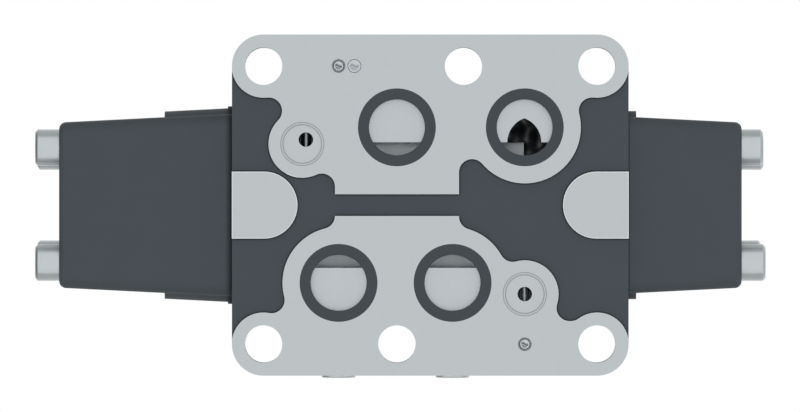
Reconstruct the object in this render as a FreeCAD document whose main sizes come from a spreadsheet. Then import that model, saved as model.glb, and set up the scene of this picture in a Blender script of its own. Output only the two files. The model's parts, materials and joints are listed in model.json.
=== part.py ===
"""Pilot operated directional valve, size 32, with a size 6 solenoid pilot valve on top.

Frame: +Z up, mounting face on Z = 0, origin in the middle of the mounting screw pattern,
X along the spool. Ports P and T lie on the -Y side, A and B on the +Y side. Sizes in mm.
"""
import FreeCAD, Part
import math
import os
import Sketcher
from types import SimpleNamespace

Vector = FreeCAD.Vector

doc = FreeCAD.newDocument("directional_valve")
sheet = doc.addObject("Spreadsheet::Sheet", "Sizes")

DRIVING_SIZES = [
    # housing
    ("body_length", 226.5),
    ("body_width", 194.8),
    ("body_corner", 18.0),
    ("foot_height", 50.0),
    ("block_height", 150.0),
    ("block_half", 59.0),
    ("foot_fillet", 8.0),
    ("cast_edge", 3.0),
    ("rim_chamfer", 1.8),
    # mounting pattern
    ("hole_end_x", 95.25),
    ("hole_mid_x", 19.05),
    ("hole_y", 79.4),
    ("hole_dia", 21.5),
    ("seat_dia", 34.0),
    ("seat_depth", 1.5),
    # ports in the mounting face
    ("port_dia", 32.0),
    ("port_depth", 44.0),
    ("throat_dia", 33.0),
    ("port_p_x", -19.05),
    ("port_t_x", 53.95),
    ("port_a_x", 12.75),
    ("port_b_x", -52.35),
    ("port_y", 44.4),
    ("port_seal_dia", 44.5),
    ("port_seal_depth", 3.2),
    ("port_x_x", 53.95),
    ("port_x_y", 50.8),
    ("port_y_x", -73.05),
    ("port_y_y", -34.9),
    ("drain_hole_x", -71.0),
    ("drain_hole_y", -37.4),
    ("pilot_port_dia", 8.3),
    ("pilot_recess_dia", 25.2),
    ("pilot_recess_floor_dia", 22.6),
    ("pilot_recess_depth", 2.4),
    ("pilot_recess_step", 0.8),
    ("cross_drill_dia", 9.0),
    ("cross_drill_height", 28.0),
    # cast relief in the mounting face
    ("relief_depth", 4.0),
    ("relief_fillet", 7.5),
    ("hole_pad_radius", 18.1),
    ("port_pad_radius", 32.0),
    ("pilot_pad_radius", 19.3),
    ("middle_pad_left", -54.4),
    ("middle_pad_right", 16.4),
    ("groove_half_width", 6.2),
    ("upper_pad_half_length", 84.6),
    ("upper_pad_edge", 61.4),
    ("lower_pad_edge", 66.2),
    ("end_pad_radius", 19.1),
    ("end_pad_reach", 18.35),
    # locating pins and the plug in the mounting face
    ("pin_x_rear", -52.35),
    ("pin_x_front", 53.95),
    ("pin_dia", 6.0),
    ("pin_hole_mouth", 7.9),
    ("pin_mouth_depth", 3.0),
    ("pin_length", 16.0),
    ("face_plug_x", -43.3),
    ("face_plug_dia", 7.7),
    ("face_plug_length", 8.0),
    # gauge plugs in the side face
    ("gauge_height", 25.0),
    ("gauge_collar_dia", 19.2),
    ("gauge_collar", 3.0),
    ("gauge_proud", 1.45),
    ("gauge_stem_dia", 13.2),
    ("gauge_stem", 12.0),
    ("gauge_drill_dia", 8.0),
    ("gauge_key", 6.0),
    ("gallery_plug_length", 8.0),
    ("gallery_plug_sink", 0.5),
    ("gallery_plug_key", 4.0),
    ("thread_runout", 2.0),
    # spool and its bore
    ("axis_height", 68.0),
    ("spool_dia", 40.0),
    ("spool_neck_dia", 25.0),
    ("spool_gap", 0.05),
    ("spool_stroke", 13.0),
    ("land_overlap", 3.0),
    ("chamber_radius", 36.0),
    ("chamber_width", 17.0),
    ("tank_chamber_width", 16.0),
    ("land_groove_depth", 0.8),
    ("land_groove_width", 1.2),
    ("land_slope", 2.0),
    ("stud_dia", 14.0),
    ("stud_length", 5.0),
    ("duct_height", 110.0),
    ("duct_size", 24.0),
    ("duct_round", 5.0),
    ("arch_width", 19.5),
    ("arch_rise", 13.8),
    ("cut_overlap", 2.0),
    # springs of the main spool
    ("spring_room_dia", 46.0),
    ("spring_length", 82.0),
    ("spring_mean_dia", 33.0),
    ("spring_wire", 4.6),
    ("spring_turns", 5.0),
    ("plate_dia", 39.0),
    ("plate_thick", 5.0),
    ("plate_spigot", 6.0),
    ("stop_post_dia", 20.0),
    # end covers
    ("cover_left_length", 99.05),
    ("cover_right_length", 64.95),
    ("cover_narrow_length", 60.3),
    ("cover_end_half", 47.3),
    ("cover_end_rise", 48.0),
    ("flange_step_half", 53.65),
    ("flange_step_rise", 45.0),
    ("cover_draft", 0.05),
    ("cover_corner", 8.0),
    ("flange_corner", 14.0),
    ("cover_end_round", 4.0),
    ("lip_length", 2.5),
    ("lip_proud", 1.0),
    ("screw_dia", 14.0),
    ("screw_head_dia", 21.0),
    ("screw_head", 14.0),
    ("screw_key", 12.0),
    ("screw_grip", 18.0),
    ("screw_low_half", 32.9),
    ("screw_high_half", 30.8),
    ("screw_rise", 33.0),
    ("screw_play", 1.0),
    ("seat_margin", 1.5),
    ("screw_seat_depth", 0.3),
    ("far_seat_extra", 1.5),
    ("cover_seal_dia", 56.0),
    ("cover_seal_wire", 3.0),
    # pilot valve
    ("pilot_face_rise", 1.5),
    ("pilot_face_margin", 2.0),
    ("pilot_length", 66.0),
    ("pilot_width", 46.0),
    ("pilot_height", 48.0),
    ("pilot_axis_rise", 25.0),
    ("pilot_screw_x", 20.25),
    ("pilot_screw_y", 15.5),
    ("pilot_screw_dia", 5.0),
    ("pilot_screw_head_dia", 8.5),
    ("pilot_screw_head", 5.0),
    ("pilot_screw_grip", 10.0),
    ("pilot_hole_dia", 7.5),
    ("pilot_drill_dia", 5.0),
    ("pilot_tank_height", 13.0),
    ("pilot_tank_y", 11.0),
    ("pilot_tank_reach", 17.0),
    ("pilot_hole_y", 10.4),
    ("pilot_hole_a_x", -7.55),
    ("pilot_hole_b_x", 9.95),
    ("pilot_hole_mid_x", 1.25),
    ("pilot_seal_dia", 12.4),
    ("pilot_seal_depth", 1.4),
    ("pilot_spool_dia", 12.0),
    ("pilot_neck_dia", 7.0),
    ("pilot_stroke", 2.5),
    ("pilot_spool_length", 40.0),
    ("pilot_chamber_dia", 19.0),
    ("pilot_chamber_width", 3.6),
    ("pilot_chamber_pitch", 7.6),
    ("pilot_overlap", 0.5),
    ("pilot_spring_wire", 1.0),
    ("pilot_spring_mean_dia", 10.5),
    ("pilot_spring_turns", 3.0),
    ("pilot_plate_thick", 1.6),
    ("tube_dia", 23.0),
    ("tube_length", 66.0),
    ("tube_thread_dia", 20.0),
    ("tube_thread", 13.0),
    ("tube_wall", 2.3),
    ("tube_nose", 2.0),
    ("tube_web", 5.0),
    ("tube_end_wall", 8.0),
    ("override_gap", 1.0),
    ("armature_gap", 0.3),
    ("push_pin_dia", 3.0),
    ("coil_side", 45.0),
    ("coil_length", 50.0),
    ("coil_gap", 1.0),
    ("nut_dia", 32.0),
    ("nut_length", 12.0),
    ("override_dia", 5.0),
    ("override_travel", 3.0),
    ("override_collar", 2.0),
    ("connector_side", 27.0),
    ("connector_height", 9.0),
    ("blade_height", 10.0),
    ("blade_width", 6.3),
    ("blade_thick", 0.8),
    # clearances
    ("fit_gap", 0.1),
    ("running_gap", 0.05),
    ("seal_gap", 0.1),
]


class Size:
    """A length, kept together with the sheet formula that gives it."""

    def __init__(self, value, formula):
        self.value = value
        self.formula = formula

    def __add__(self, other):
        return joined(self, "+", other, self.value + value_of(other))

    def __radd__(self, other):
        return joined(other, "+", self, value_of(other) + self.value)

    def __sub__(self, other):
        return joined(self, "-", other, self.value - value_of(other))

    def __rsub__(self, other):
        return joined(other, "-", self, value_of(other) - self.value)

    def __mul__(self, other):
        return joined(self, "*", other, self.value * value_of(other))

    def __rmul__(self, other):
        return joined(other, "*", self, value_of(other) * self.value)

    def __truediv__(self, other):
        return joined(self, "/", other, self.value / value_of(other))

    def __neg__(self):
        return Size(-self.value, "(-1 * " + self.formula + ")")


def joined(first, sign, second, value):
    return Size(value, "(" + formula_of(first) + " " + sign + " " + formula_of(second) + ")")


def value_of(size):
    return size.value if isinstance(size, Size) else float(size)


def formula_of(size):
    return size.formula if isinstance(size, Size) else repr(size)


def read_sizes(rows):
    """Write the driving sizes into the sheet and hand them back by name."""
    named = {}
    for row, (name, value) in enumerate(rows, start=1):
        sheet.set("A%d" % row, str(value))
        sheet.setAlias("A%d" % row, name)
        named[name] = Size(value, "Sizes." + name)
    doc.recompute()
    return SimpleNamespace(**named)


s = read_sizes(DRIVING_SIZES)


# Small makers that every piece uses

def bind(thing, prop, size):
    thing.setExpression(prop, formula_of(size))


def place(thing, **places):
    for letter, size in places.items():
        bind(thing, "Placement.Base." + letter, size)


def piece(label):
    body = doc.addObject("PartDesign::Body", label)
    body.Label = label
    return body


def sketch(body, role, shift=(0, 0, 0)):
    """A sketch on one of the body's own origin planes, shifted in the plane's own axes."""
    drawing = body.newObject("Sketcher::SketchObject", body.Name + "_sketch")
    plane = [item for item in body.Origin.OriginFeatures if item.Role == role][0]
    drawing.AttachmentSupport = [(plane, "")]
    drawing.MapMode = "FlatFace"
    for letter, size in zip("xyz", shift):
        bind(drawing, "AttachmentOffset.Base." + letter, size)
    return drawing


def pin_point(drawing, index, point, across, up):
    for kind, size in (("DistanceX", across), ("DistanceY", up)):
        rule = Sketcher.Constraint(kind, -1, 1, index, point, value_of(size))
        number = drawing.addConstraint(rule)
        drawing.setExpression("Constraints[%d]" % number, formula_of(size))


def polygon(drawing, corners):
    first = drawing.GeometryCount
    count = len(corners)
    spots = [Vector(value_of(across), value_of(up), 0) for across, up in corners]
    for i in range(count):
        drawing.addGeometry(Part.LineSegment(spots[i], spots[(i + 1) % count]), False)
    for i in range(count):
        joint = Sketcher.Constraint("Coincident", first + i, 2, first + (i + 1) % count, 1)
        drawing.addConstraint(joint)
        pin_point(drawing, first + i, 1, corners[i][0], corners[i][1])


def rectangle(drawing, left, right, low, high):
    polygon(drawing, [(left, low), (right, low), (right, high), (left, high)])


def circle(drawing, across, up, dia):
    centre = Vector(value_of(across), value_of(up), 0)
    index = drawing.addGeometry(Part.Circle(centre, Vector(0, 0, 1), value_of(dia) / 2), False)
    pin_point(drawing, index, 3, across, up)
    number = drawing.addConstraint(Sketcher.Constraint("Radius", index, value_of(dia) / 2))
    bind(drawing, "Constraints[%d]" % number, dia / 2)


def grow(body, drawing, length, backwards=False):
    feature = body.newObject("PartDesign::Pad", body.Name + "_pad")
    feature.Profile = drawing
    feature.Reversed = backwards
    bind(feature, "Length", length)
    return feature


def sink(body, drawing, depth, backwards=False):
    feature = body.newObject("PartDesign::Pocket", body.Name + "_pocket")
    feature.Profile = drawing
    feature.Reversed = backwards
    bind(feature, "Length", depth)
    return feature


def revolve(body, drawing, axis="H_Axis", cut=False):
    kind = "PartDesign::Groove" if cut else "PartDesign::Revolution"
    feature = body.newObject(kind, body.Name + "_turned")
    feature.Profile = drawing
    feature.ReferenceAxis = (drawing, [axis])
    feature.Angle = 360
    return feature


def edge_names(shape, wanted):
    return ["Edge%d" % number for number, edge in enumerate(shape.Edges, start=1) if wanted(edge)]


def dress(kind, prop, body, size, wanted):
    doc.recompute()
    base = body.Tip
    feature = body.newObject(kind, body.Name + "_edge")
    feature.Base = (base, edge_names(base.Shape, wanted))
    bind(feature, prop, size)
    return feature


def round_edges(body, radius, wanted):
    return dress("PartDesign::Fillet", "Radius", body, radius, wanted)


def near(first, second, slack=0.02):
    return abs(first - value_of(second)) < slack


def runs_along(edge, axis):
    box = edge.BoundBox
    spans = {"x": box.XLength, "y": box.YLength, "z": box.ZLength}
    return all(spans[other] < 1e-4 for other in spans if other != axis) and spans[axis] > 1e-4


def hexagon(drawing, across, up, key):
    """A hexagon key socket with the given width across its flats."""
    ratio = 1 / math.sqrt(3)
    corners = [
        (across + key * ratio, up),
        (across + key * (ratio / 2), up + key / 2),
        (across - key * (ratio / 2), up + key / 2),
        (across - key * ratio, up),
        (across - key * (ratio / 2), up - key / 2),
        (across + key * (ratio / 2), up - key / 2),
    ]
    polygon(drawing, corners)


def turned_along_x(label, profile, height, y=0):
    """A solid of revolution about the line parallel to X at the given height."""
    body = piece(label)
    drawing = sketch(body, "XZ_Plane", (0, height, -y))
    polygon(drawing, profile)
    revolve(body, drawing)
    return body


def turned_along_z(label, profile, x, y):
    body = piece(label)
    drawing = sketch(body, "XZ_Plane", (x, 0, -y))
    polygon(drawing, profile)
    revolve(body, drawing, "V_Axis")
    return body


def tool_cylinder(label, dia, length, turn=None, **places):
    """A cylinder used as a cutting tool, standing on Z or turned to lie along X or Y."""
    tool = doc.addObject("Part::Cylinder", label)
    bind(tool, "Radius", dia / 2)
    bind(tool, "Height", length)
    if turn == "x":
        tool.Placement.Rotation = FreeCAD.Rotation(Vector(0, 1, 0), 90)
    if turn == "y":
        tool.Placement.Rotation = FreeCAD.Rotation(Vector(1, 0, 0), -90)
    place(tool, **places)
    return tool


def tool_box(label, left, right, front, back, low, high):
    tool = doc.addObject("Part::Box", label)
    bind(tool, "Length", right - left)
    bind(tool, "Width", back - front)
    bind(tool, "Height", high - low)
    place(tool, x=left, y=front, z=low)
    return tool


def combined(kind, label, shapes):
    result = doc.addObject(kind, label)
    result.Label = label
    result.Shapes = shapes
    return result


def cut_from(label, base, tool):
    result = doc.addObject("Part::Cut", label)
    result.Label = label
    result.Base = base
    result.Tool = tool
    return result


def copies(label, pattern, spots):
    """Several equal pieces kept as one named group of separate solids."""
    members = []
    for number, spot in enumerate(spots):
        member = doc.addObject("App::Link", "%s_%d" % (label, number))
        member.LinkedObject = pattern
        for letter, size in zip("xyz", spot):
            bind(member, "Placement.Base." + letter, size)
        members.append(member)
    group = doc.addObject("Part::Compound", label)
    group.Label = label
    group.Links = members
    return group


# Places that several pieces share

body_end = s.body_length / 2
body_side = s.body_width / 2
spool_half = body_end + s.port_p_x
spring_shoulder = s.port_p_x + spool_half
cover_length = {-1: s.cover_left_length, 1: s.cover_right_length}
spool_end = {-1: s.port_p_x - spool_half, 1: spring_shoulder}
spring_floor = {side: spool_end[side] + side * (s.plate_thick + s.spring_length) for side in (-1, 1)}
pilot_x = s.port_p_x
pilot_face = s.block_height + s.pilot_face_rise
pilot_axis = pilot_face + s.pilot_axis_rise
screw_places = {"low": (s.screw_low_half, -s.screw_rise), "high": (s.screw_high_half, s.screw_rise)}
SEAT_DEPTHS = {False: s.screw_seat_depth, True: s.screw_seat_depth + s.far_seat_extra}
MOUNTING_HOLES = [
    (-s.hole_end_x, -s.hole_y),
    (s.hole_mid_x, -s.hole_y),
    (s.hole_end_x, -s.hole_y),
    (-s.hole_end_x, s.hole_y),
    (-s.hole_mid_x, s.hole_y),
    (s.hole_end_x, s.hole_y),
]
MAIN_PORTS = {
    "p": (s.port_p_x, -s.port_y),
    "t": (s.port_t_x, -s.port_y),
    "a": (s.port_a_x, s.port_y),
    "b": (s.port_b_x, s.port_y),
}
LOCATING_PINS = {"rear": (s.pin_x_rear, -s.hole_y), "front": (s.pin_x_front, s.hole_y)}
GAUGE_PORTS = {"a": s.port_a_x, "b": s.port_b_x}
PILOT_HOLES = [
    (s.pilot_hole_mid_x, s.pilot_hole_y),
    (s.pilot_hole_mid_x, -s.pilot_hole_y),
    (s.pilot_hole_a_x, 0),
    (s.pilot_hole_b_x, 0),
]
PILOT_DRILL_DEPTHS = [
    s.pilot_axis_rise,
    s.pilot_tank_height,
    s.pilot_axis_rise - s.pilot_chamber_dia / 2 + 1.5,
    s.pilot_axis_rise - s.pilot_chamber_dia / 2 + 1.5,
]
PILOT_SCREWS = [
    (pilot_x + across * s.pilot_screw_x, up * s.pilot_screw_y)
    for across in (-1, 1)
    for up in (-1, 1)
]


# Main housing

def chamber_spans():
    """Start and end of each annular chamber round the spool, from left to right."""
    half = s.chamber_width / 2
    tank_right = (s.port_t_x - s.tank_chamber_width, s.port_t_x)
    tank_left = (2 * s.port_p_x - tank_right[1], 2 * s.port_p_x - tank_right[0])
    spans = [tank_left]
    for x in (s.port_b_x, s.port_p_x, s.port_a_x):
        spans.append((x - half, x + half))
    return spans + [tank_right]


def spool_bore_profile():
    """Half section of the bore: plain bore, five chambers and the right spring room."""
    bore = s.spool_dia / 2
    profile = [(-body_end, 0), (-body_end, bore)]
    for start, end in chamber_spans():
        profile += [(start, bore), (start, s.chamber_radius), (end, s.chamber_radius), (end, bore)]
    room = s.spring_room_dia / 2
    return profile + [(spring_shoulder, bore), (spring_shoulder, room), (body_end, room), (body_end, 0)]


def main_casting():
    body = piece("casting")
    foot = sketch(body, "XY_Plane")
    rectangle(foot, -body_end, body_end, -body_side, body_side)
    grow(body, foot, s.foot_height)
    round_edges(body, s.body_corner, lambda edge: runs_along(edge, "z"))

    block = sketch(body, "XY_Plane")
    rectangle(block, -body_end, body_end, -s.block_half, s.block_half)
    grow(body, block, s.block_height)

    def is_foot_junction(edge):
        spot = edge.CenterOfMass
        return runs_along(edge, "x") and near(spot.z, s.foot_height) and near(abs(spot.y), s.block_half)

    def is_foot_rim(edge):
        spot = edge.CenterOfMass
        return near(edge.BoundBox.ZMax, s.foot_height) and near(edge.BoundBox.ZMin, s.foot_height) \
            and abs(spot.y) > s.block_half.value + s.foot_fillet.value

    def is_block_rim(edge):
        return near(edge.BoundBox.ZMin, s.block_height)

    round_edges(body, s.foot_fillet, is_foot_junction)
    round_edges(body, s.cast_edge, is_foot_rim)
    dress("PartDesign::Chamfer", "Size", body, s.rim_chamfer, is_block_rim)

    pilot_pad = sketch(body, "XY_Plane", (0, 0, s.block_height))
    half_length = s.pilot_length / 2 + s.pilot_face_margin
    half_width = s.pilot_width / 2 + s.pilot_face_margin
    rectangle(pilot_pad, pilot_x - half_length, pilot_x + half_length, -half_width, half_width)
    grow(body, pilot_pad, s.pilot_face_rise)

    holes = sketch(body, "XY_Plane")
    for x, y in MOUNTING_HOLES:
        circle(holes, x, y, s.hole_dia)
    sink(body, holes, s.foot_height, backwards=True)
    seats = sketch(body, "XY_Plane", (0, 0, s.foot_height - s.seat_depth))
    for x, y in MOUNTING_HOLES:
        circle(seats, x, y, s.seat_dia)
    sink(body, seats, s.seat_depth + s.foot_fillet, backwards=True)

    ports = sketch(body, "XY_Plane")
    for x, y in MAIN_PORTS.values():
        circle(ports, x, y, s.port_dia)
    sink(body, ports, s.port_depth, backwards=True)
    seal_seats = sketch(body, "XY_Plane")
    for x, y in MAIN_PORTS.values():
        circle(seal_seats, x, y, s.port_seal_dia)
    sink(body, seal_seats, s.port_seal_depth, backwards=True)

    pilot_ports = ((s.port_x_x, s.port_x_y), (s.port_y_x, s.port_y_y))
    pilot_steps = (
        (s.pilot_recess_dia, s.pilot_recess_step),
        (s.pilot_recess_floor_dia, s.pilot_recess_depth),
    )
    for dia, depth in pilot_steps:
        recess = sketch(body, "XY_Plane")
        for x, y in pilot_ports:
            circle(recess, x, y, dia)
        sink(body, recess, depth, backwards=True)
    drills = sketch(body, "XY_Plane")
    circle(drills, s.port_x_x, s.port_x_y, s.pilot_port_dia)
    circle(drills, s.drain_hole_x, s.drain_hole_y, s.pilot_port_dia)
    sink(body, drills, s.cross_drill_height, backwards=True)

    pin_steps = (
        (s.pin_hole_mouth, s.pin_mouth_depth),
        (s.pin_dia + s.fit_gap, s.pin_length + s.fit_gap),
    )
    for dia, depth in pin_steps:
        pin_holes = sketch(body, "XY_Plane")
        for x, y in LOCATING_PINS.values():
            circle(pin_holes, x, y, dia)
        sink(body, pin_holes, depth, backwards=True)
    plug_hole = sketch(body, "XY_Plane")
    circle(plug_hole, s.face_plug_x, -s.hole_y, s.face_plug_dia + s.fit_gap)
    sink(body, plug_hole, s.face_plug_length + s.fit_gap, backwards=True)

    bore = sketch(body, "XZ_Plane", (0, s.axis_height, 0))
    polygon(bore, spool_bore_profile())
    revolve(body, bore, cut=True)

    for side in (-1, 1):
        threads = sketch(body, "YZ_Plane", (0, s.axis_height, side * body_end))
        for half, rise in screw_places.values():
            for hand in (-1, 1):
                circle(threads, hand * half, rise, s.screw_dia + s.fit_gap)
        sink(body, threads, s.screw_grip + s.thread_runout, backwards=side < 0)

    face = sketch(body, "XY_Plane", (0, 0, pilot_face))
    for x, y in PILOT_SCREWS:
        circle(face, x, y, s.pilot_screw_dia + s.fit_gap)
    sink(body, face, s.pilot_screw_grip + s.thread_runout)
    pilot_drills = sketch(body, "XY_Plane", (0, 0, pilot_face))
    for x, y in PILOT_HOLES:
        circle(pilot_drills, pilot_x + x, y, s.pilot_hole_dia)
    sink(body, pilot_drills, s.pilot_screw_grip)
    return body


def port_throats():
    """Where each port opens into its chamber: a cored round a little wider than the port."""
    throats = []
    reach = s.throat_dia / 2
    for name, (x, y) in MAIN_PORTS.items():
        port = tool_cylinder(
            "port_%s_core" % name, s.throat_dia, s.chamber_radius * 2, x=x, y=y, z=s.port_depth,
        )
        wall = tool_cylinder(
            "chamber_%s_core" % name, s.chamber_radius * 2, s.throat_dia, "x", x=x - reach, z=s.axis_height,
        )
        shaft = tool_box(
            "shaft_%s_core" % name, x - reach, x + reach, -s.chamber_radius, s.chamber_radius,
            s.port_depth, s.axis_height,
        )
        inner = combined("Part::MultiFuse", "inner_%s_core" % name, [wall, shaft])
        throats.append(combined("Part::MultiCommon", "throat_%s" % name, [port, inner]))
    return throats


def tank_ducts():
    """The cored return passage: up from T through a pointed arch, over and down to the left."""
    chord = -s.chamber_radius
    half = s.arch_width / 2
    radius = (s.arch_rise * s.arch_rise + half * half) / s.arch_width
    top = s.duct_height + s.duct_size
    reach = radius - half
    start = s.port_depth - s.cut_overlap
    sides = []
    for hand in (-1, 1):
        sides.append(tool_cylinder(
            "arch_side_%d" % (hand + 2), radius * 2, top - start,
            x=s.port_t_x + hand * reach, y=chord, z=start,
        ))
    keep = tool_box(
        "arch_keep", s.port_t_x - half, s.port_t_x + half, chord - s.arch_rise, chord, start, top,
    )
    arch = combined("Part::MultiCommon", "arch", sides + [keep])
    inner = -s.chamber_radius + s.duct_size / 2
    right = s.port_t_x + s.port_dia / 2
    left_span = chamber_spans()[0]
    riser = tool_box("riser", s.port_t_x, right, chord, inner, s.axis_height - 8, top)
    bridge = tool_box("bridge", left_span[0] + 2, right, inner - s.duct_size, inner, s.duct_height, top)
    drop = tool_box("drop", left_span[0] + 2, left_span[1], inner - s.duct_size, inner, s.axis_height, top)
    rounded = doc.addObject("Part::Fillet", "bridge_rounded")
    rounded.Base = bridge
    doc.recompute()
    rounding = s.duct_round.value
    long_edges = [
        (number, rounding, rounding)
        for number, edge in enumerate(bridge.Shape.Edges, start=1)
        if runs_along(edge, "x")
    ]
    rounded.Edges = long_edges
    return [arch, riser, rounded, drop]


def cross_drills():
    """Drillings from the side faces: the two gauge ports and the two pilot galleries."""
    tools = []
    thread_depth = s.gauge_collar - s.gauge_proud + s.gauge_stem + s.thread_runout
    for name, x in GAUGE_PORTS.items():
        depths = (
            ("seat", s.gauge_collar_dia + 1, s.gauge_collar - s.gauge_proud),
            ("thread", s.gauge_stem_dia + s.fit_gap, thread_depth),
            ("drill", s.gauge_drill_dia, body_side - s.port_y - s.port_dia / 4),
        )
        for part, dia, depth in depths:
            tools.append(tool_cylinder(
                "gauge_%s_%s" % (name, part), dia, depth, "y", x=x, y=body_side - depth, z=s.gauge_height,
            ))
    deep = s.cross_drill_dia / 2
    tools.append(tool_cylinder(
        "gallery_x", s.cross_drill_dia, body_side - s.port_x_y + deep, "y",
        x=s.port_x_x, y=s.port_x_y - deep, z=s.cross_drill_height,
    ))
    tools.append(tool_cylinder(
        "gallery_y", s.cross_drill_dia, body_side + s.drain_hole_y + deep, "y",
        x=s.drain_hole_x, y=-body_side, z=s.cross_drill_height,
    ))
    return tools


def flat(outline):
    return Part.Face(Part.Wire(outline))


def disc(x, y, radius):
    return flat([Part.makeCircle(value_of(radius), Vector(value_of(x), value_of(y), 0))])


def plate(left, right, front, back):
    corners = [(left, front), (right, front), (right, back), (left, back), (left, front)]
    return Part.Face(Part.makePolygon([Vector(value_of(x), value_of(y), 0) for x, y in corners]))


def raised_pad(faces, fillet):
    """The union of the flat faces, with every inner corner rounded."""
    whole = faces[0].fuse(faces[1:]).removeSplitter()
    grown = whole.Faces[0].makeOffset2D(fillet)
    return grown.Faces[0].makeOffset2D(-fillet)


def relief():
    """What the casting leaves open round the machined pads of the mounting face."""
    holes = [disc(x, y, s.hole_pad_radius) for x, y in MOUNTING_HOLES]
    middle = (s.middle_pad_left, s.middle_pad_right)
    ports = {name: disc(x, y, s.port_pad_radius) for name, (x, y) in MAIN_PORTS.items()}
    fillet = s.relief_fillet.value
    upper = raised_pad([
        plate(-s.hole_end_x, s.hole_end_x, -body_side, -s.upper_pad_edge),
        plate(-s.upper_pad_half_length, s.port_t_x, -s.upper_pad_edge, -s.port_y),
        plate(middle[0], middle[1], -s.upper_pad_edge, -s.groove_half_width),
        plate(s.port_y_x, middle[0], -s.upper_pad_edge, s.port_y_y),
        disc(s.port_y_x, s.port_y_y, s.pilot_pad_radius),
        ports["t"], holes[0], holes[2],
    ], fillet)
    lower = raised_pad([
        plate(-s.hole_end_x, s.hole_end_x, s.lower_pad_edge, body_side),
        plate(s.port_b_x, s.port_x_x, s.port_x_y, s.lower_pad_edge),
        plate(middle[0], middle[1], s.groove_half_width, s.lower_pad_edge),
        disc(s.port_x_x, s.port_x_y, s.pilot_pad_radius),
        ports["a"], ports["b"], holes[3], holes[5],
    ], fillet)
    open_face = plate(-body_end - 1, body_end + 1, -body_side - 1, body_side + 1)
    keep = [upper, lower]
    for side in (-1, 1):
        middle_x = side * (body_end - s.end_pad_reach)
        outer_x = side * (body_end + 1)
        span = sorted((middle_x, outer_x), key=value_of)
        keep.append(disc(middle_x, 0, s.end_pad_radius))
        keep.append(plate(span[0], span[1], -s.end_pad_radius, s.end_pad_radius))
    opened = open_face.cut(keep)
    tool = doc.addObject("Part::Feature", "relief")
    tool.Shape = opened.extrude(Vector(0, 0, s.relief_depth.value))
    return tool


def main_body():
    casting = main_casting()
    tools = port_throats() + tank_ducts() + cross_drills() + [relief()]
    return cut_from("main_body", casting, combined("Part::MultiFuse", "body_cores", tools))


# Main spool, its springs and plates

def main_spool():
    radius = s.spool_dia / 2 - s.spool_gap
    neck = s.spool_neck_dia / 2
    spans = chamber_spans()
    overlap = s.land_overlap
    lands = [
        (spool_end[-1], spans[0][0] - overlap),
        (spans[1][0] - overlap, spans[1][1] + overlap),
        (spans[3][0] - overlap, spans[3][1] + overlap),
        (spans[4][1] + overlap, spool_end[1]),
    ]
    stud = s.stud_dia / 2
    slope = s.land_slope
    tips = (spool_end[-1] - s.stud_length, spool_end[1] + s.stud_length)
    profile = [(tips[0], 0), (tips[0], stud), (spool_end[-1], stud)]
    for number, (start, end) in enumerate(lands):
        if number:
            profile += [(start - slope, neck), (start, radius - slope), (start, radius)]
        else:
            profile += [(start, radius)]
        middle = (start + end) / 2
        notch = s.land_groove_width / 2
        floor = radius - s.land_groove_depth
        profile += [(middle - notch, radius), (middle - notch, floor)]
        profile += [(middle + notch, floor), (middle + notch, radius)]
        if number < len(lands) - 1:
            profile += [(end, radius), (end, radius - slope), (end + slope, neck)]
        else:
            profile += [(end, radius)]
    profile += [(spool_end[1], stud), (tips[1], stud), (tips[1], 0)]
    return turned_along_x("main_spool", profile, s.axis_height)


def spring(label, start, end, mean_dia, wire, turns, height):
    """A coil spring along X that fills the room between two faces."""
    body = piece(label)
    lowest, highest = sorted((start, end), key=value_of)
    first = lowest + wire / 2 + s.fit_gap
    length = highest - lowest - wire - 2 * s.fit_gap
    section = sketch(body, "XZ_Plane", (first, height, 0))
    circle(section, 0, mean_dia / 2, wire)
    coil = body.newObject("PartDesign::AdditiveHelix", label + "_coil")
    coil.Profile = section
    coil.ReferenceAxis = (section, ["H_Axis"])
    coil.Mode = "pitch-height-angle"
    bind(coil, "Pitch", length / turns)
    bind(coil, "Height", length)
    return body


def spring_plate(side):
    """Steel plate on the spool's end stud, with a spigot that centres the spring."""
    name = {-1: "left", 1: "right"}[side]
    inner = spool_end[side]
    hole = s.stud_dia / 2 + s.fit_gap
    rim = s.plate_dia / 2
    spigot = (s.spring_mean_dia - s.spring_wire) / 2 - 1
    outer = inner + side * s.plate_thick
    tip = outer + side * s.plate_spigot
    profile = [
        (inner, hole), (inner, rim), (outer, rim), (outer, spigot),
        (tip - side * 1, spigot), (tip, spigot - 1), (tip, hole),
    ]
    return turned_along_x("spring_plate_" + name, profile, s.axis_height)


# End covers

def seat_is_deep(side, row, hand):
    """Two screws of the right cover, on one diagonal, sit deeper in its end face."""
    return side > 0 and (row == "low") == (hand < 0)


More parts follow.
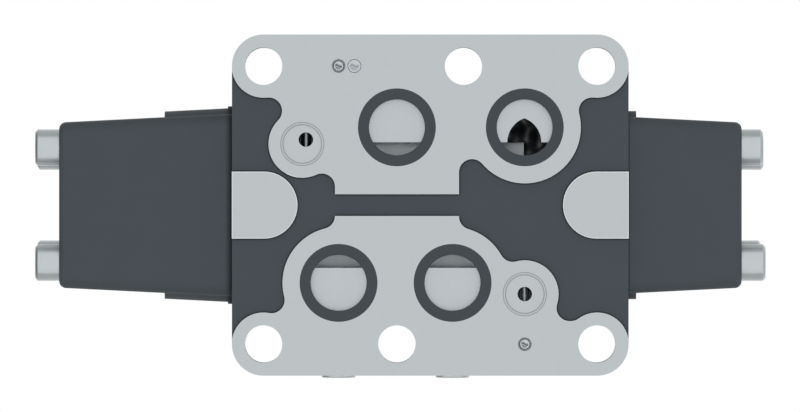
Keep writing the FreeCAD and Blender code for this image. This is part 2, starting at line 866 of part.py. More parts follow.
def end_cover(side):
    """Cast cover with draft, a wide foot and the room for one spring."""
    name = {-1: "left", 1: "right"}[side]
    length = cover_length[side]
    body = piece("end_cover_" + name)
    inner = side * body_end
    outer = inner + side * length
    foot_length = length - s.cover_narrow_length
    step = inner + side * foot_length
    draft = s.cover_draft

    def section(x, half, rise):
        drawing = sketch(body, "YZ_Plane", (0, s.axis_height, x))
        rectangle(drawing, -half, half, -rise, rise)
        return drawing

    def loft(first, second):
        feature = body.newObject("PartDesign::AdditiveLoft", body.Name + "_loft")
        feature.Profile = first
        feature.Sections = [second]
        feature.Ruled = True
        return feature

    def is_long(edge):
        box = edge.BoundBox
        return box.XLength > foot_length.value * 0.9 and len(edge.Vertexes) == 2 and box.YLength < 8

    def is_lip_corner(edge):
        return runs_along(edge, "x") and near(edge.BoundBox.XLength, s.lip_length)

    foot_half = s.flange_step_half + draft * foot_length
    foot_rise = s.flange_step_rise + draft * foot_length
    foot = section(inner, foot_half, foot_rise)
    if side < 0:
        loft(foot, section(step, s.flange_step_half, s.flange_step_rise))
    else:
        grow(body, foot, foot_length)
    round_edges(body, s.flange_corner, is_long)
    if side < 0:
        lip = section(inner, foot_half + s.lip_proud, foot_rise + s.lip_proud)
        grow(body, lip, s.lip_length, backwards=True)
        round_edges(body, s.flange_corner, is_lip_corner)
    loft(
        section(inner, s.cover_end_half + draft * length, s.cover_end_rise + draft * length),
        section(outer, s.cover_end_half, s.cover_end_rise),
    )

    def is_narrow_corner(edge):
        box = edge.BoundBox
        high = abs(edge.CenterOfMass.z - s.axis_height.value) > s.cover_end_rise.value
        return box.XLength > s.cover_narrow_length.value * 0.9 and high

    round_edges(body, s.cover_corner, is_narrow_corner)

    def is_end_rim(edge):
        return near(edge.BoundBox.XMin, outer) and near(edge.BoundBox.XMax, outer)

    round_edges(body, s.cover_end_round, is_end_rim)

    room = sketch(body, "YZ_Plane", (0, s.axis_height, inner))
    circle(room, 0, 0, s.spring_room_dia)
    sink(body, room, side * (spring_floor[side] - inner), backwards=side > 0)

    rebate = sketch(body, "YZ_Plane", (0, s.axis_height, inner))
    circle(rebate, 0, 0, s.cover_seal_dia + s.cover_seal_wire + s.seal_gap * 2)
    sink(body, rebate, s.cover_seal_wire + s.seal_gap, backwards=side > 0)

    bolts = sketch(body, "YZ_Plane", (0, s.axis_height, outer))
    for half, rise in screw_places.values():
        for hand in (-1, 1):
            circle(bolts, hand * half, rise, s.screw_dia + s.screw_play)
    sink(body, bolts, length, backwards=side < 0)
    for row, (half, rise) in screw_places.items():
        for hand in (-1, 1):
            seat = sketch(body, "YZ_Plane", (0, s.axis_height, outer))
            circle(seat, hand * half, rise, s.screw_head_dia + s.seat_margin)
            sink(body, seat, SEAT_DEPTHS[seat_is_deep(side, row, hand)], backwards=side < 0)
    return body


def stop_post(side):
    """Post pressed into the floor of the spring room, where the spring plate ends its stroke."""
    name = {-1: "left", 1: "right"}[side]
    floor = spring_floor[side]
    reach = s.spring_length - s.plate_spigot - s.spool_stroke - s.fit_gap
    rim = s.stop_post_dia / 2
    tip = floor - side * reach
    return turned_along_x("stop_post_" + name, [
        (floor, 0), (floor, rim), (tip + side * 1, rim), (tip, rim - 1), (tip, 0),
    ], s.axis_height)


def cover_seal(side):
    name = {-1: "left", 1: "right"}[side]
    ring = doc.addObject("Part::Torus", "cover_seal_" + name)
    ring.Label = "cover_seal_" + name
    bind(ring, "Radius1", s.cover_seal_dia / 2)
    bind(ring, "Radius2", s.cover_seal_wire / 2)
    ring.Placement.Rotation = FreeCAD.Rotation(Vector(0, 1, 0), 90)
    place(ring, x=side * (body_end + s.cover_seal_wire / 2 + s.seal_gap / 2), z=s.axis_height)
    return ring


def socket_screw(label, dia, head_dia, head, grip, key, side):
    """A socket head cap screw along X, with the seat of its head at the origin."""
    rim = head_dia / 2
    chamfer = head_dia / 15
    shank = dia / 2
    body = piece(label)
    drawing = sketch(body, "XZ_Plane")
    tip = -side * grip
    polygon(drawing, [
        (side * head, 0), (side * head, rim - chamfer), (side * (head - chamfer), rim), (0, rim),
        (0, shank), (tip + side * 1, shank), (tip, shank - 1), (tip, 0),
    ])
    revolve(body, drawing)
    socket = sketch(body, "YZ_Plane", (0, 0, side * head))
    hexagon(socket, 0, 0, key)
    sink(body, socket, head / 2, backwards=side < 0)
    return body


def cover_screws(side):
    name = {-1: "left", 1: "right"}[side]
    length = cover_length[side]
    groups = []
    for deep, seat in SEAT_DEPTHS.items():
        seat_x = side * (body_end + length - seat)
        spots = [
            (seat_x, hand * half, s.axis_height + rise)
            for row, (half, rise) in screw_places.items()
            for hand in (-1, 1)
            if seat_is_deep(side, row, hand) == deep
        ]
        if not spots:
            continue
        screw = socket_screw(
            "cover_screw_%s_%d" % (name, deep), s.screw_dia, s.screw_head_dia, s.screw_head,
            length - seat + s.screw_grip, s.screw_key, side,
        )
        groups.append(copies("cover_screws_%s_%d" % (name, deep), screw, spots))
    group = doc.addObject("Part::Compound", "cover_screws_" + name)
    group.Label = "cover_screws_" + name
    group.Links = groups
    return group


# Pieces in the mounting face and the side face

def port_seal(name, x, y):
    outer = s.port_seal_dia / 2 - s.seal_gap
    inner = s.port_dia / 2 + s.fit_gap * 2
    return turned_along_z("port_seal_" + name, [
        (inner, s.seal_gap), (outer, s.seal_gap), (outer, s.port_seal_depth), (inner, s.port_seal_depth),
    ], x, y)


def locating_pin(name, x, y):
    radius = s.pin_dia / 2
    return turned_along_z("locating_pin_" + name, [
        (0, 0), (radius - 0.4, 0), (radius, 0.4), (radius, s.pin_length), (0, s.pin_length),
    ], x, y)


def face_plug():
    radius = s.face_plug_dia / 2
    return turned_along_z("face_plug", [
        (0, 0), (radius - 0.3, 0), (radius, 0.3), (radius, s.face_plug_length), (0, s.face_plug_length),
    ], s.face_plug_x, -s.hole_y)


def gauge_plug(name, x):
    """Collared screw plug with a hexagon socket, screwed into the side face along Y."""
    body = piece("gauge_plug_" + name)
    outer = body_side + s.gauge_proud
    seat = outer - s.gauge_collar
    tip = seat - s.gauge_stem
    rim = s.gauge_collar_dia / 2
    stem = s.gauge_stem_dia / 2
    drawing = sketch(body, "YZ_Plane", (0, s.gauge_height, x))
    polygon(drawing, [
        (outer, 0), (outer, rim - 0.6), (outer - 0.6, rim), (seat, rim), (seat, stem),
        (tip + 1, stem), (tip, stem - 1), (tip, 0),
    ])
    revolve(body, drawing)
    socket = sketch(body, "XZ_Plane", (0, 0, -outer))
    hexagon(socket, x, s.gauge_height, s.gauge_key)
    sink(body, socket, s.gauge_collar + 2, backwards=True)
    return body


def gallery_plug(name, x, side):
    """Flush plug that closes a pilot gallery where it was drilled from the side face."""
    body = piece("gallery_plug_" + name)
    radius = s.cross_drill_dia / 2 - s.fit_gap / 2
    outer = side * (body_side - s.gallery_plug_sink)
    tip = outer - side * s.gallery_plug_length
    drawing = sketch(body, "YZ_Plane", (0, s.cross_drill_height, x))
    polygon(drawing, [(outer, 0), (outer, radius), (tip, radius), (tip, 0)])
    revolve(body, drawing)
    socket = sketch(body, "XZ_Plane", (0, 0, -outer))
    hexagon(socket, x, s.cross_drill_height, s.gallery_plug_key)
    sink(body, socket, s.gallery_plug_length / 2, backwards=side > 0)
    return body


# Pilot valve

def pilot_bore_profile(half):
    bore = s.pilot_spool_dia / 2
    thread = s.tube_thread_dia / 2 + s.fit_gap / 2
    depth = s.tube_thread + s.fit_gap
    profile = [(-half, 0), (-half, thread), (-half + depth, thread), (-half + depth, bore)]
    for place_x in pilot_chambers():
        start = place_x - s.pilot_chamber_width / 2
        end = place_x + s.pilot_chamber_width / 2
        rim = s.pilot_chamber_dia / 2
        profile += [(start, bore), (start, rim), (end, rim), (end, bore)]
    return profile + [(half - depth, bore), (half - depth, thread), (half, thread), (half, 0)]


def pilot_chambers():
    """Middles of the five annular grooves round the pilot spool, from the valve's middle."""
    return [s.pilot_chamber_pitch * step for step in (-2, -1, 0, 1, 2)]


def pilot_body():
    body = piece("pilot_body")
    half = s.pilot_length / 2
    side = s.pilot_width / 2
    box = sketch(body, "XY_Plane", (pilot_x, 0, pilot_face))
    rectangle(box, -half, half, -side, side)
    grow(body, box, s.pilot_height)
    round_edges(body, s.cast_edge, lambda edge: runs_along(edge, "z"))
    round_edges(body, s.cast_edge / 2, lambda edge: near(edge.BoundBox.ZMin, pilot_face + s.pilot_height))

    bore = sketch(body, "XZ_Plane", (pilot_x, pilot_axis, 0))
    polygon(bore, pilot_bore_profile(half))
    revolve(body, bore, cut=True)

    holes = sketch(body, "XY_Plane", (0, 0, pilot_face))
    for x, y in PILOT_SCREWS:
        circle(holes, x, y, s.pilot_screw_dia + 0.5)
    sink(body, holes, s.pilot_height, backwards=True)
    heads = sketch(body, "XY_Plane", (0, 0, pilot_face + s.pilot_height))
    for x, y in PILOT_SCREWS:
        circle(heads, x, y, s.pilot_screw_head_dia + 1)
    sink(body, heads, s.pilot_screw_head + 1)

    for (x, y), depth in zip(PILOT_HOLES, PILOT_DRILL_DEPTHS):
        drill = sketch(body, "XY_Plane", (0, 0, pilot_face))
        circle(drill, pilot_x + x, y, s.pilot_drill_dia)
        sink(body, drill, depth, backwards=True)
    seats = sketch(body, "XY_Plane", (0, 0, pilot_face))
    for x, y in PILOT_HOLES:
        circle(seats, pilot_x + x, y, s.pilot_seal_dia)
    sink(body, seats, s.pilot_seal_depth, backwards=True)

    # the outer chambers drain through a gallery beside the bore
    gallery_height = pilot_face + s.pilot_tank_height
    gallery = sketch(body, "YZ_Plane", (0, gallery_height, pilot_x - s.pilot_tank_reach))
    circle(gallery, -s.pilot_tank_y, 0, s.pilot_drill_dia)
    sink(body, gallery, s.pilot_tank_reach * 2, backwards=True)
    slots = sketch(body, "XY_Plane", (pilot_x, 0, gallery_height))
    wide = s.pilot_chamber_width / 2
    for middle in (pilot_chambers()[0], pilot_chambers()[-1]):
        rectangle(slots, middle - wide, middle + wide, -s.pilot_tank_y, -s.pilot_spool_dia / 2)
    sink(body, slots, s.pilot_axis_rise - s.pilot_tank_height, backwards=True)
    return body


def pilot_spool():
    """Four-land pilot spool with a spigot at each end for its spring plate."""
    radius = s.pilot_spool_dia / 2 - s.spool_gap
    neck = s.pilot_neck_dia / 2
    half = s.pilot_spool_length / 2
    cover = s.pilot_chamber_width / 2 + s.pilot_overlap
    chambers = pilot_chambers()
    lands = [
        (-half, chambers[0]),
        (chambers[1] - cover, chambers[1] + cover),
        (chambers[3] - cover, chambers[3] + cover),
        (chambers[4], half),
    ]
    profile = [(-half, 0)]
    for number, (start, end) in enumerate(lands):
        if number:
            profile.append((start, neck))
        profile += [(start, radius), (end, radius)]
        if number < len(lands) - 1:
            profile.append((end, neck))
    profile.append((half, 0))
    body = piece("pilot_spool")
    drawing = sketch(body, "XZ_Plane", (pilot_x, pilot_axis, 0))
    polygon(drawing, profile)
    revolve(body, drawing)
    return body


def solenoid_tube(side):
    """Pressure tight tube with a thread into the pilot body and a hole for the override pin."""
    name = {-1: "left", 1: "right"}[side]
    face = pilot_x + side * s.pilot_length / 2
    start = face - side * s.tube_thread
    end = face + side * s.tube_length
    outer = s.tube_dia / 2
    thread = s.tube_thread_dia / 2
    inner = outer - s.tube_wall
    wall = end - side * s.tube_end_wall
    pin = s.override_dia / 2 + s.running_gap
    spring_room = s.pilot_spring_mean_dia / 2 + s.pilot_spring_wire / 2 + 0.5
    stop = face + side * s.tube_nose
    spring_seat = stop - side * s.tube_web
    rod = s.push_pin_dia / 2 + s.armature_gap
    return turned_along_x("solenoid_tube_" + name, [
        (start, spring_room), (start, thread), (face, thread), (face, outer), (end, outer), (end, pin),
        (wall, pin), (wall, inner), (stop, inner), (stop, rod), (spring_seat, rod),
        (spring_seat, spring_room),
    ], pilot_axis)


def armature(side):
    """Plunger with its push pin, which reaches the pilot spool."""
    name = {-1: "left", 1: "right"}[side]
    face = pilot_x + side * s.pilot_length / 2
    start = face + side * (s.tube_nose + s.pilot_stroke + 0.5)
    end = override_inner(side) - side * (s.override_travel + s.pilot_stroke + s.override_gap)
    radius = s.tube_dia / 2 - s.tube_wall - s.armature_gap
    rod = s.push_pin_dia / 2
    tip = pilot_x + side * s.pilot_spool_length / 2
    return turned_along_x("armature_" + name, [
        (tip, 0), (tip, rod), (start, rod), (start, radius), (end, radius), (end, 0),
    ], pilot_axis)


def pilot_plate(side):
    name = {-1: "left", 1: "right"}[side]
    inner = pilot_x + side * s.pilot_spool_length / 2
    outer = inner + side * s.pilot_plate_thick
    hole = s.push_pin_dia / 2 + s.fit_gap
    rim = (s.pilot_spring_mean_dia + s.pilot_spring_wire) / 2
    return turned_along_x("pilot_spring_plate_" + name, [
        (inner, hole), (inner, rim), (outer, rim), (outer, hole),
    ], pilot_axis)


def coil(side):
    """Square coil housing that slides over the tube, rounded on its long edges."""
    name = {-1: "left", 1: "right"}[side]
    body = piece("coil_" + name)
    start = pilot_x + side * (s.pilot_length / 2 + s.coil_gap)
    half = s.coil_side / 2
    drawing = sketch(body, "YZ_Plane", (0, pilot_axis, start))
    rectangle(drawing, -half, half, -half, half)
    grow(body, drawing, s.coil_length, backwards=side < 0)
    round_edges(body, s.cast_edge * 2, lambda edge: runs_along(edge, "x"))
    round_edges(body, s.cast_edge / 2, lambda edge: edge.BoundBox.XLength < 0.01)
    bore = sketch(body, "YZ_Plane", (0, pilot_axis, start))
    circle(bore, 0, 0, s.tube_dia + s.fit_gap * 2)
    sink(body, bore, s.coil_length, backwards=side > 0)
    return body


def coil_nut(side):
    name = {-1: "left", 1: "right"}[side]
    start = pilot_x + side * (s.pilot_length / 2 + s.coil_gap + s.coil_length)
    end = start + side * s.nut_length
    rim = s.nut_dia / 2
    hole = s.tube_dia / 2 + s.fit_gap
    return turned_along_x("coil_nut_" + name, [
        (start, hole), (start, rim), (end - side * 1.5, rim), (end, rim - 1.5), (end, hole),
    ], pilot_axis)


def override_inner(side):
    """Inner end of the override pin, past the tube's end wall."""
    end = pilot_x + side * (s.pilot_length / 2 + s.tube_length)
    return end - side * (s.tube_end_wall + s.override_collar)


def override_pin(side):
    """Hand override in the end of the tube, held by its inner collar."""
    name = {-1: "left", 1: "right"}[side]
    end = pilot_x + side * (s.pilot_length / 2 + s.tube_length)
    wall = end - side * s.tube_end_wall
    collar = s.override_dia / 2 + 1.5
    radius = s.override_dia / 2
    inner = override_inner(side)
    return turned_along_x("override_pin_" + name, [
        (inner, 0), (inner, collar), (wall - side * s.fit_gap, collar), (wall - side * s.fit_gap, radius),
        (end, radius), (end, 0),
    ], pilot_axis)


def connector_base(side):
    """Socket base on top of the coil, with its three flat contact blades."""
    name = {-1: "left", 1: "right"}[side]
    body = piece("connector_base_" + name)
    body.AllowCompound = True
    middle = pilot_x + side * (s.pilot_length / 2 + s.coil_gap + s.coil_length / 2)
    low = pilot_axis + s.coil_side / 2
    half = s.connector_side / 2
    drawing = sketch(body, "XY_Plane", (middle, 0, low))
    rectangle(drawing, -half, half, -half, half)
    grow(body, drawing, s.connector_height)
    round_edges(body, s.cast_edge / 2, lambda edge: runs_along(edge, "z"))
    blades = sketch(body, "XY_Plane", (middle, 0, low + s.connector_height))
    thick = s.blade_thick / 2
    wide = s.blade_width / 2
    spread = s.connector_side / 3.2
    rectangle(blades, -spread - thick, -spread + thick, -wide, wide)
    rectangle(blades, spread - thick, spread + thick, -wide, wide)
    rectangle(blades, -wide, wide, spread - thick, spread + thick)
    grow(body, blades, s.blade_height)
    return body


def pilot_screws():
    screw = piece("pilot_screw")
    rim = s.pilot_screw_head_dia / 2
    shank = s.pilot_screw_dia / 2
    grip = s.pilot_height - s.pilot_screw_head - 1 + s.pilot_screw_grip
    drawing = sketch(screw, "XZ_Plane")
    polygon(drawing, [
        (0, s.pilot_screw_head), (rim, s.pilot_screw_head), (rim, 0), (shank, 0), (shank, -grip), (0, -grip),
    ])
    revolve(screw, drawing, "V_Axis")
    socket = sketch(screw, "XY_Plane", (0, 0, s.pilot_screw_head))
    hexagon(socket, 0, 0, s.pilot_screw_dia * 0.8)
    sink(screw, socket, s.pilot_screw_head / 2)
    seat = pilot_face + s.pilot_height - s.pilot_screw_head - 1
    return copies("pilot_screws", screw, [(x, y, seat) for x, y in PILOT_SCREWS])


def pilot_seals():
    ring = doc.addObject("Part::Torus", "pilot_seal")
    wire = s.pilot_seal_depth / 2 - s.seal_gap / 2
    bind(ring, "Radius1", s.pilot_seal_dia / 2 - wire - s.seal_gap)
    bind(ring, "Radius2", wire)
    spots = [(pilot_x + x, y, pilot_face + s.pilot_seal_depth / 2) for x, y in PILOT_HOLES]
    return copies("pilot_seals", ring, spots)


def all_pieces():
    nodes = [main_body(), main_spool(), face_plug()]
    nodes += [pilot_body(), pilot_spool(), pilot_screws(), pilot_seals()]
    for side, name in ((-1, "left"), (1, "right")):
        spring_start = spool_end[side] + side * s.plate_thick
        nodes += [
            end_cover(side), stop_post(side), cover_seal(side), cover_screws(side), spring_plate(side),
            spring("main_spring_" + name, spring_start, spring_floor[side],
                   s.spring_mean_dia, s.spring_wire, s.spring_turns, s.axis_height),
            solenoid_tube(side), armature(side), pilot_plate(side), coil(side), coil_nut(side),
            override_pin(side), connector_base(side),
        ]
        plate_outer = pilot_x + side * (s.pilot_spool_length / 2 + s.pilot_plate_thick)
        spring_stop = pilot_x + side * (s.pilot_length / 2 + s.tube_nose - s.tube_web)
        nodes.append(spring("pilot_spring_" + name, plate_outer, spring_stop,
                            s.pilot_spring_mean_dia, s.pilot_spring_wire, s.pilot_spring_turns, pilot_axis))
    nodes += [port_seal(name, x, y) for name, (x, y) in MAIN_PORTS.items()]
    nodes += [locating_pin(name, x, y) for name, (x, y) in LOCATING_PINS.items()]
    nodes += [gauge_plug(name, x) for name, x in GAUGE_PORTS.items()]
    nodes += [gallery_plug("x", s.port_x_x, 1), gallery_plug("y", s.drain_hole_x, -1)]
    return nodes


def check(nodes):
    """Stop where an object failed, a cut removed nothing or a piece isn't a sound solid."""
    for thing in doc.Objects:
        if "Invalid" in thing.State or "Error" in thing.State:
            raise RuntimeError(thing.Name + " failed: " + str(thing.State))
        if thing.TypeId in ("PartDesign::Pocket", "PartDesign::Groove"):
            if thing.Shape.Volume > thing.BaseFeature.Shape.Volume - 1e-6:
                raise RuntimeError(thing.Name + " cuts nothing")
    for node in nodes:
        if node.Shape.isNull() or not node.Shape.isValid() or not node.Shape.Solids:
            raise RuntimeError(node.Label + " isn't a valid solid")


def write(nodes):
    os.makedirs("parts", exist_ok=True)
    for node in nodes:
        node.Shape.exportStep("parts/" + node.Label + ".step")
        print(node.Label, len(node.Shape.Solids), round(node.Shape.Volume / 1000, 2), "cm3")


pieces = all_pieces()
doc.recompute()
check(pieces)
write(pieces)
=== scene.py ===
"""Looks of a pilot operated directional valve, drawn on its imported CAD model.

The valve stands on its mounting face: X runs along the spool and Z points up, all in metres.
The photograph looks straight up at the mounting face, with ports P and T at its top.
"""
import bmesh
import bpy
import json
import math
from mathutils import Matrix, Vector


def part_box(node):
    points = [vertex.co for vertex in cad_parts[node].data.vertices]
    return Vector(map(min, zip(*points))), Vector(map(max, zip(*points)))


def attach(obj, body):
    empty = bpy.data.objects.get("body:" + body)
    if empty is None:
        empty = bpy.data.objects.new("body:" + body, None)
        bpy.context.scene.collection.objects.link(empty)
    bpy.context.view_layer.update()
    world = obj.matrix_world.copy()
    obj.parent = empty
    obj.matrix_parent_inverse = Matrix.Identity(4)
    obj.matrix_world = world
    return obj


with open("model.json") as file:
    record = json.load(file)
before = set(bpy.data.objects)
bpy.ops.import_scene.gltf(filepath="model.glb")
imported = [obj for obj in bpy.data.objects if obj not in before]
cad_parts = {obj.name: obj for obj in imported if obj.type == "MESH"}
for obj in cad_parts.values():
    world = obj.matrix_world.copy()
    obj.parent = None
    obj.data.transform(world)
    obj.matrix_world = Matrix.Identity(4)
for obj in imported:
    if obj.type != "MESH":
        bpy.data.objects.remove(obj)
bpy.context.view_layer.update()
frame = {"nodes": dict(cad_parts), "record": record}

MM = 0.001
nodes = frame["nodes"]
subparts = frame["record"]["subparts"]
mounts = {mount["name"]: mount for mount in frame["record"]["mounts"]}

# The photograph: its size and the place of the frame's origin in pixels, its lens and sensor in millimetres
PHOTO_WIDTH = 800
PHOTO_HEIGHT = 412
PIXELS_PER_MM = 1.752
PHOTO_ORIGIN = (430.27, 205.1)
LENS = 850
SENSOR = 36


def middle(name):
    """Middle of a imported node's box."""
    low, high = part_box(name)
    return (Vector(low) + Vector(high)) / 2


def port_centres(letters):
    """Where some ports lie on the mounting face."""
    return [mounts["port_" + letter]["pos_m"][:2] for letter in letters]


def screw_centres(pattern):
    """Where the screws of one pattern lie on the mounting face."""
    x, y, _ = mounts[pattern]["pos_m"]
    dims = mounts[pattern]["dims"]
    half_x = dims["spacing_x_mm"] / 2 * MM
    half_y = dims.get("spacing_y_mm", 0) / 2 * MM
    return {(x + along * half_x, y + across * half_y) for along in (-1, 1) for across in (-1, 1)}


# The housing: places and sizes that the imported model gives
port_dims = mounts["port_p"]["dims"]
MAIN_PORTS = port_centres("ptab")
PILOT_DRILLINGS = port_centres("xy")
PINS = [middle("locating_pin_rear")[:2], middle("locating_pin_front")[:2]]
SCREW_HOLES = set().union(*(screw_centres(name) for name in mounts if "screw" in name))
AXIS_HEIGHT = middle("main_spool").z
LEFT_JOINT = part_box("main_body")[0][0]
PILOT_PAD_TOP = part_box("main_body")[1][2]
PORT_RADIUS = port_dims["r_mm"] * MM
PORT_DEPTH = mounts["port_p"]["pos_m"][2] + port_dims["length_mm"] / 2 * MM
DRILLING_RADIUS = mounts["port_x"]["dims"]["r_mm"] * MM
SCREW_HOLE_RADIUS = mounts["corner_screws"]["dims"]["hole_r_mm"] * MM

# The housing: sizes that part its surfaces
CHAMBER_RADIUS = 36 * MM
PORT_FLOOR_BAND = 3 * MM
SEAL_GROOVE_RADIUS = 22.3 * MM
SEAL_GROOVE_DEPTH = 3.2 * MM
RELIEF_DEPTH = 4 * MM
SEAT_RADIUS = 17 * MM
BLOCK_HALF_WIDTH = 58 * MM
BLOCK_HALF_LENGTH = 112 * MM
INSIDE_HEIGHTS = (42 * MM, 148 * MM)
END_PAD_START = 75 * MM
END_PAD_HALF_WIDTH = 20 * MM
PIN_MOUTH_RADIUS = 4.1 * MM
DRILLING_MOUTH = 2.5 * MM
CROSS_DRILL_RADIUS = 4.6 * MM
CROSS_DRILL_HEIGHTS = (23 * MM, 32.6 * MM)
RECESS_RADIUS = 12.8 * MM
# The Y drilling lies beside the middle of its recess
PILOT_RECESSES = [PILOT_DRILLINGS[0], (-73.05 * MM, -34.9 * MM)]
SLACK = 0.05 * MM
# How steep a face is: its normal's share along Z
LEVEL = 0.99
# Slopes in a cross drilling: below the first, faces take the pale painted streak; between the next two, the
# grey painted side streaks
STREAK_SLOPE = -0.97
SIDE_SLOPES = (-0.88, -0.6)


def linear(code):
    """An sRGB hex colour as the linear colour that a shader wants."""
    channels = [int(code[i:i + 2], 16) / 255 for i in (1, 3, 5)]
    bent = [c / 12.92 if c <= 0.04045 else ((c + 0.055) / 1.055) ** 2.4 for c in channels]
    return (*bent, 1.0)


def node(tree, kind, values=(), links=(), **properties):
    """Adds a shader node, with its properties, its sockets' values and what feeds its sockets."""
    made = tree.nodes.new(kind)
    for name, value in properties.items():
        setattr(made, name, value)
    for socket, value in dict(values).items():
        made.inputs[socket].default_value = value
    for socket, source in dict(links).items():
        tree.links.new(source, made.inputs[socket])
    return made


def new_material(name):
    """An empty material, and its node tree."""
    made = bpy.data.materials.new(name)
    made.use_nodes = True
    made.node_tree.nodes.clear()
    return made, made.node_tree


# What surfaces have in common

# How many grains one patch of colour spans
BARE_PATCH = 12
COATED_PATCH = 14
# How open a corner is to its surroundings where its painted shade is darkest, and where the painted shade is
# gone again
SHADED = 0.52
UNSHADED = 0.9
# How near the rounded normal is to the real one where the painted rim highlight starts to show, and where it
# shows fully
RIM_START = 0.995
RIM_FULL = 0.9


def mottle(tree, low, high, patch):
    """A colour that drifts between two tones in patches of the given size, and the drift itself."""
    place = node(tree, "ShaderNodeTexCoord").outputs["Object"]
    drift = node(tree, "ShaderNodeTexNoise", {"Scale": 1 / patch, "Detail": 3}, {"Vector": place}).outputs[0]
    colour = node(tree, "ShaderNodeMix", {6: linear(low), 7: linear(high)}, {0: drift}, data_type="RGBA")
    return colour.outputs[2], drift


def grain_normal(tree, grain, depth, wave=None):
    """A normal with grains of the given size and depth, over slower waves where a mould leaves them."""
    place = node(tree, "ShaderNodeTexCoord").outputs["Object"]
    links = {}
    if wave:
        length, height = wave
        slow = node(tree, "ShaderNodeTexNoise", {"Scale": 1 / length, "Detail": 0}, {"Vector": place})
        waves = node(tree, "ShaderNodeBump", {"Distance": height}, {"Height": slow.outputs[0]})
        links["Normal"] = waves.outputs[0]
    grains = node(tree, "ShaderNodeTexNoise", {"Scale": 1 / grain, "Detail": 4, "Roughness": 0.6},
                  {"Vector": place})
    links["Height"] = grains.outputs[0]
    return node(tree, "ShaderNodeBump", {"Distance": depth}, links).outputs[0]


def painted_corner_shade(tree, colour, shade_tone, reach):
    """The colour, turning to a painted shade in inner corners and beside steps."""
    openness = node(tree, "ShaderNodeAmbientOcclusion", {"Distance": reach}, samples=8).outputs["AO"]
    unshaded_share = node(tree, "ShaderNodeMapRange", {"From Min": SHADED, "From Max": UNSHADED}, {"Value": openness})
    sources = {0: unshaded_share.outputs[0], 7: colour}
    return node(tree, "ShaderNodeMix", {6: linear(shade_tone)}, sources, data_type="RGBA").outputs[2]


def painted_rim_highlight(tree, colour, rim, width):
    """The colour, turning to a paler one along outer edges: a painted highlight, and the edges that the tool
    has broken.
    """
    rounded = node(tree, "ShaderNodeBevel", {"Radius": width}, samples=6).outputs[0]
    flat = node(tree, "ShaderNodeNewGeometry").outputs["Normal"]
    same = node(tree, "ShaderNodeVectorMath", {}, {0: rounded, 1: flat}, operation="DOT_PRODUCT")
    edge = node(tree, "ShaderNodeMapRange", {"From Min": RIM_START, "From Max": RIM_FULL},
                {"Value": same.outputs["Value"]})
    sources = {0: edge.outputs[0], 6: colour}
    return node(tree, "ShaderNodeMix", {7: linear(rim)}, sources, data_type="RGBA").outputs[2]


def joint_shade(tree, colour, x, width, shade):
    """The colour, turning to a painted shade over the given width up to a joint across the part at x."""
    place = node(tree, "ShaderNodeTexCoord").outputs["Object"]
    along = node(tree, "ShaderNodeSeparateXYZ", {}, {0: place}).outputs[0]
    clear = node(tree, "ShaderNodeMapRange", {"From Min": x, "From Max": x - width}, {"Value": along})
    sources = {0: clear.outputs[0], 7: colour}
    return node(tree, "ShaderNodeMix", {6: linear(shade)}, sources, data_type="RGBA").outputs[2]


def finish(tree, colour, drift, roughness, normal, **values):
    """The shader: roughness follows the drift of the colour."""
    low, high = roughness
    rough = node(tree, "ShaderNodeMapRange", {"To Min": low, "To Max": high}, {"Value": drift})
    settings = {name.replace("_", " "): value for name, value in values.items()}
    shader = node(tree, "ShaderNodeBsdfPrincipled", settings,
                  {"Base Color": colour, "Roughness": rough.outputs[0], "Normal": normal})
    node(tree, "ShaderNodeOutputMaterial", {}, {"Surface": shader.outputs[0]})


def bare_metal(name, tones, roughness, grain, depth, rim=None, corner=None):
    """Bare or plated metal: faint patches, and a tool's grain that is drawn coarse enough to show."""
    made, tree = new_material(name)
    colour, drift = mottle(tree, *tones, grain * BARE_PATCH)
    if rim:
        colour = painted_rim_highlight(tree, colour, *rim)
    if corner:
        colour = painted_corner_shade(tree, colour, *corner)
    finish(tree, colour, drift, roughness, grain_normal(tree, grain, depth), Metallic=1.0)
    return made


def coated(name, tones, roughness, grain, depth, shine=0.3, wave=None, corner=None, joint=None, rim=None):
    """Paint, rubber, plastic or scale: no metal, with painted shade in its corners and beside its joint, and
    a painted highlight on its rims.
    """
    made, tree = new_material(name)
    colour, drift = mottle(tree, *tones, grain * COATED_PATCH)
    if rim:
        colour = painted_rim_highlight(tree, colour, *rim)
    if corner:
        colour = painted_corner_shade(tree, colour, *corner)
    if joint:
        colour = joint_shade(tree, colour, *joint)
    finish(tree, colour, drift, roughness, grain_normal(tree, grain, depth, wave), Specular_IOR_Level=shine)
    return made


# The painted shear mark: its turn and its waves in radians, and where it fades, as shares of the radius
MARK_TURN = 0.15
MARK_WAVES = 1.15 / MM
MARK_SWING = 0.8 * MM
MARK_REACH = 2.6 * MM
MARK_START = 0.58
MARK_END = 0.78
# Places across the mark, each with its tone: 0 for the painted shade in the groove, 1 for the painted shade
# on the lips, 2 for the clean end
MARK_STOPS = [(0.0, 2), (0.2, 2), (0.4, 1), (0.46, 0), (0.56, 0), (0.62, 2), (0.68, 1), (0.95, 1)]


